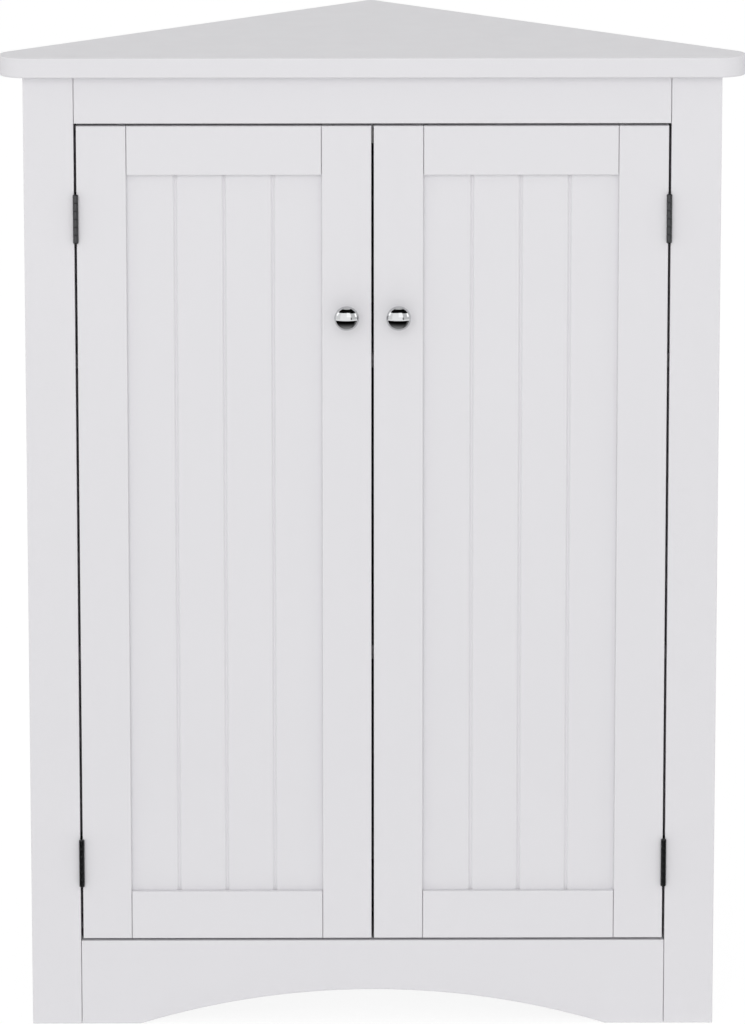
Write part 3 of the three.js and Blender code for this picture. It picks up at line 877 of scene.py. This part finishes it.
def knuckle_profile(radius, height):
    edge = KNUCKLE_ROUND
    lower = arc((radius - edge, edge), edge, -90, 0, FILLET_STEPS)
    upper = arc((radius - edge, height - edge), edge, 0, 90, FILLET_STEPS)
    return [(KNUCKLE_BORE, 0), *lower, *upper, (KNUCKLE_BORE, height)]


def leaf_outline(front, back, bottom, top):
    """A leaf's shape from the side, its two far corners rounded, as (y, z) pairs."""
    r = LEAF_CORNER
    lower = arc((back - r, bottom + r), r, -90, 0, FILLET_STEPS)
    upper = arc((back - r, top - r), r, 0, 90, FILLET_STEPS)
    return [(front, bottom), *lower, *upper, (front, top)]


def add_leaf(node, body, leaf_edge, face_side, axis, radius, first):
    """One leaf, with every second knuckle: its plate lies on leaf_edge and its screws show on face_side."""
    low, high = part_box(node)
    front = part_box("left_post")[0].y + LEAF_SETBACK
    face = leaf_edge + face_side * LEAF_THICKNESS
    outline = leaf_outline(front, high.y, low.z, high.z)
    plate = slab(outline, lambda pair: (leaf_edge, *pair), Vector((face - leaf_edge, 0, 0)))
    piece = linked(f"{node}_plated", plate)
    round_edges(piece, LEAF_ROUND, FINE_ROUND_SEGMENTS)
    pitch = (high.z - low.z) / KNUCKLES
    parts = []
    for i in range(first, KNUCKLES, 2):
        bottom = low.z + i * pitch + KNUCKLE_GAP / 2
        top = bottom + pitch - KNUCKLE_GAP
        foot = Vector((axis.x, axis.y, bottom))
        profile = knuckle_profile(radius, top - bottom)
        parts.append(turned(profile, foot, UPWARD, KNUCKLE_SEGMENTS, closed=True))
        parts.append(across(
            leaf_edge, face, axis.y + TAB_START, front + LEAF_THICKNESS,
            bottom + LEAF_ROUND, top - LEAF_ROUND,
        ))
    combine(piece, parts, "UNION")
    outward = Vector((face_side, 0, 0))
    middle = Vector((face, front + HINGE_SCREW_DEPTH, (low.z + high.z) / 2))
    seats = [middle + UPWARD * step * HINGE_SCREW_SPREAD for step in (-1, 1)]
    sinks = [countersink(seat, outward, HINGE_SCREW[0], LEAF_THICKNESS) for seat in seats]
    combine(piece, sinks, "DIFFERENCE")
    finish_piece(piece, body, "dark_hinge_metal", [node], weighted=False)
    for number, seat in enumerate(seats, 1):
        head = seat - outward * SCREW_SUNK
        flush_screw(f"{node}_screw_{number}", head, outward, HINGE_SCREW, body, "dark_hinge_metal")


def pin_profile(half, head_radius, head_height):
    """A pin with a dome at each end, from half below its middle to half above."""
    upper = [(PIN_RADIUS, half), *dome(head_radius, half, head_height)]
    return [(radius, -distance) for radius, distance in reversed(upper)] + upper


def edge_toward(node, side):
    """The x of the node's left edge for a side of -1, or of its right edge for 1."""
    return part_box(node)[side > 0].x


def add_hinges():
    for hand, side in HANDS:
        post_edge = edge_toward(f"{hand}_post", -side)
        door_edge = edge_toward(f"{hand}_door_hinge_stile", side)
        for level in LEVELS:
            name = f"{hand}_{level}_hinge"
            low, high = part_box(f"{name}_pin")
            leaf_low, leaf_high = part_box(f"{name}_frame_leaf")
            axis = (low + high) / 2
            radius = axis.y - leaf_low.y
            half = (leaf_high.z - leaf_low.z) / 2
            add_leaf(f"{name}_frame_leaf", CARCASE, post_edge, -side, axis, radius, 0)
            add_leaf(f"{name}_door_leaf", f"{hand}_door", door_edge, side, axis, radius, 1)
            profile = pin_profile(half, (high.x - low.x) / 2, (high.z - low.z) / 2 - half)
            pin = linked(f"{name}_pin_plated", turned(profile, axis, UPWARD, SMALL_SEGMENTS))
            finish_piece(pin, CARCASE, "dark_hinge_metal", [f"{name}_pin"], weighted=False)


# Magnetic catch and strike plates

def add_catch():
    low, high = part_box("magnetic_catch")
    strike_low, strike_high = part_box("right_strike_plate")
    offset = (strike_low.x + strike_high.x) / 2
    front = low.y + POLE_PROJECTION
    middle = (low.z + high.z) / 2
    piece = linked("magnetic_catch_moulded", box_shape((low.x, front, low.z), high))
    round_edges(piece, CATCH_ROUND)
    half_width = POLE_WIDTH / 2 + POCKET_MARGIN
    half_height = POLE_SPACING / 2 + POLE_THICKNESS / 2 + POCKET_MARGIN
    pockets = []
    for _, side in HANDS:
        x = side * offset
        pockets.append(across(
            x - half_width, x + half_width, front - POCKET_DEPTH, front + POCKET_DEPTH,
            middle - half_height, middle + half_height,
        ))
    combine(piece, pockets, "DIFFERENCE")
    finish_piece(piece, CARCASE, "white_plastic", ["magnetic_catch"])
    for hand, side in HANDS:
        x = side * offset
        for place, step in (("upper", 1), ("lower", -1)):
            z = middle + step * POLE_SPACING / 2
            pole = linked(f"catch_{place}_pole_{hand}", across(
                x - POLE_WIDTH / 2, x + POLE_WIDTH / 2, low.y, low.y + POLE_DEPTH,
                z - POLE_THICKNESS / 2, z + POLE_THICKNESS / 2,
            ))
            round_edges(pole, STRIKE_ROUND, FINE_ROUND_SEGMENTS)
            finish_piece(pole, CARCASE, "plated_steel")
        seat = Vector((side * (high.x - CATCH_SCREW_INSET), high.y - CATCH_SCREW_SETBACK, low.z))
        pan_screw(f"catch_screw_{hand}", seat, -UPWARD, CATCH_SCREW, CATCH_SCREW_THICKNESS, CARCASE)


def rounded_rectangle(low, high, radius):
    """The outline of a plate in x and z, with four rounded corners."""
    centres = (
        (low.x + radius, low.z + radius), (high.x - radius, low.z + radius),
        (high.x - radius, high.z - radius), (low.x + radius, high.z - radius),
    )
    points = []
    for i, centre in enumerate(centres):
        points += arc(centre, radius, 180 + 90 * i, 270 + 90 * i, FILLET_STEPS)
    return points


def add_strikes():
    for hand, _ in HANDS:
        node = f"{hand}_strike_plate"
        low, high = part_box(node)
        outline = rounded_rectangle(low, high, STRIKE_CORNER)
        shape = slab(outline, lambda pair: (pair[0], low.y, pair[1]), Vector((0, high.y - low.y, 0)))
        piece = linked(f"{node}_plated", shape)
        round_edges(piece, STRIKE_ROUND, FINE_ROUND_SEGMENTS)
        middle = (low + high) / 2
        seat = Vector((middle.x, high.y, middle.z))
        combine(piece, [countersink(seat, -FORWARD, STRIKE_SCREW[0], high.y - low.y)], "DIFFERENCE")
        finish_piece(piece, f"{hand}_door", "plated_steel", [node])
        head = seat + FORWARD * SCREW_SUNK
        flush_screw(f"{hand}_strike_screw", head, -FORWARD, STRIKE_SCREW, f"{hand}_door", "plated_steel")


# Studio

def emission(tree, strength):
    return add_node(tree, "ShaderNodeEmission", inputs={"Color": grey(1), "Strength": strength}).outputs[0]


def background(tree, strength):
    return add_node(tree, "ShaderNodeBackground", inputs={"Color": grey(1), "Strength": strength}).outputs[0]


def seen_directly(tree):
    """1 for camera, mirror and glass rays, and 0 for the rays that light the object."""
    path = add_node(tree, "ShaderNodeLightPath")
    seen = math_node(tree, "ADD", path.outputs["Is Camera Ray"], path.outputs["Is Glossy Ray"])
    return math_node(tree, "MAXIMUM", seen, path.outputs["Is Transmission Ray"])


def mix_shaders(tree, share, first, second):
    return add_node(tree, "ShaderNodeMixShader", inputs={0: share, 1: first, 2: second}).outputs[0]


def add_shaders(tree, first, second):
    return add_node(tree, "ShaderNodeAddShader", inputs={0: first, 1: second}).outputs[0]


def diffuse(tree, level):
    return add_node(tree, "ShaderNodeBsdfDiffuse", inputs={"Color": grey(level)}).outputs[0]


def fading(tree, level, distance, power=1):
    """level at the object's origin, fading out over this distance; a higher power holds it level longer."""
    far = add_node(tree, "ShaderNodeVectorMath", {"operation": "LENGTH"}, {0: object_place(tree)})
    share = math_node(tree, "DIVIDE", far.outputs["Value"], distance)
    fall = math_node(tree, "MULTIPLY", math_node(tree, "POWER", share, power), -1)
    return math_node(tree, "MULTIPLY", math_node(tree, "EXPONENT", fall), level)


def floor_material():
    """A pale floor that reads as white, takes the object's shadow, and bounces light at its foot."""
    material, tree = empty_material("studio_floor")
    bounce = emission(tree, fading(tree, BOUNCE_LEVEL, BOUNCE_FADE))
    lighting = add_shaders(tree, diffuse(tree, FLOOR_LIT), bounce)
    seen = add_shaders(tree, emission(tree, FLOOR_SEEN), diffuse(tree, FLOOR_SHADOW))
    output(tree, mix_shaders(tree, seen_directly(tree), lighting, seen))
    return material


def card_output(tree, level):
    """A mirror shows the card at its level; what the mirror sends on to paint is as plain as the rest."""
    bounced = add_node(tree, "ShaderNodeLightPath").outputs["Diffuse Depth"]
    lights = math_node(tree, "GREATER_THAN", bounced, 0)
    output(tree, mix_shaders(tree, lights, emission(tree, level), emission(tree, AMBIENT)))


def card_material(name, level):
    material, tree = empty_material(name)
    card_output(tree, level)
    return material


def shade_material():
    """The dark floor card: grey close to the cupboard and falling off to black away from it."""
    material, tree = empty_material("shade_card")
    card_output(tree, fading(tree, SHADE_LEVEL, SHADE_FADE, SHADE_POWER))
    return material


def stage_object(name, shape, material):
    made = linked(name, shape)
    made.data.materials.append(material)
    return made


def mirror_only(card):
    """Only mirror rays meet the card, so it shapes reflections and takes no light away."""
    card.visible_camera = False
    card.visible_diffuse = False
    card.visible_shadow = False
    card.visible_transmission = False
    card.visible_volume_scatter = False


def plane_shape(half):
    shape = bmesh.new()
    bmesh.ops.create_grid(shape, x_segments=1, y_segments=1, size=half)
    return shape


def add_card(name, azimuths, edges, material):
    """A card bent round the middle of the doors, between two edges that are (distance, height) pairs."""
    start, end = azimuths
    shape = bmesh.new()
    steps = max(1, (end - start) // CARD_STEP)
    columns = []
    for i in range(steps + 1):
        azimuth = math.radians(start + (end - start) * i / steps)
        x, y = math.sin(azimuth), -math.cos(azimuth)
        columns.append([shape.verts.new((distance * x, distance * y, height)) for distance, height in edges])
    for (a, b), (c, d) in zip(columns, columns[1:]):
        shape.faces.new((a, c, d, b))
    card = stage_object(name, shape, material)
    card.location = (0, DOORS_PLANE, 0)
    mirror_only(card)


def add_cards():
    shade_edges = (SHADE_CLEAR, CARD_LIFT), (SHADE_OUTER, CARD_LIFT)
    add_card("shade_card", FULL_CIRCLE, shade_edges, shade_material())
    for name, azimuths, reaches, height, level in FLAT_CARDS:
        add_card(name, azimuths, [(reach, height) for reach in reaches], card_material(name, level))
    for name, azimuths, elevations, level, row in UPRIGHT_CARDS:
        distance = CARD_DISTANCE - row * CARD_SPACING
        heights = [KNOBS_HEIGHT + distance * math.tan(math.radians(angle)) for angle in elevations]
        edges = [(distance, max(CARD_LIFT, height)) for height in heights]
        add_card(name, azimuths, edges, card_material(name, level))


def add_key():
    data = bpy.data.lights.new("key_light", "AREA")
    data.shape = "SQUARE"
    data.size = KEY_SIZE
    # The power that lights a surface square to the lamp, at its distance, to the lamp's level
    data.energy = KEY_LEVEL * math.pi ** 2 * KEY_DISTANCE ** 2
    lamp = bpy.data.objects.new("key_light", data)
    target = Vector((0, DOORS_PLANE, cad_box[1][2] / 2))
    away = Vector((
        math.sin(KEY_AZIMUTH) * math.cos(KEY_ELEVATION),
        -math.cos(KEY_AZIMUTH) * math.cos(KEY_ELEVATION),
        math.sin(KEY_ELEVATION),
    ))
    turn = away.to_track_quat("Z", "Y").to_matrix().to_4x4()
    lamp.matrix_world = Matrix.Translation(target + away * KEY_DISTANCE) @ turn
    lamp.visible_camera = False
    lamp.visible_glossy = False
    bpy.context.scene.collection.objects.link(lamp)


def set_world():
    world = bpy.data.worlds.new("studio")
    bpy.context.scene.world = world
    world.use_nodes = True
    tree = world.node_tree
    tree.nodes.clear()
    mixed = mix_shaders(tree, seen_directly(tree), background(tree, AMBIENT), background(tree, BACKDROP))
    add_node(tree, "ShaderNodeOutputWorld", inputs={"Surface": mixed})


def add_studio():
    stage_object("studio_floor", plane_shape(FLOOR_HALF), floor_material())
    add_cards()
    add_key()
    set_world()
    bpy.context.scene.view_settings.view_transform = "Standard"


add_camera()
add_top()
add_carcase()
add_doors()
add_knobs()
add_pegs()
add_hinges()
add_catch()
add_strikes()
add_studio()
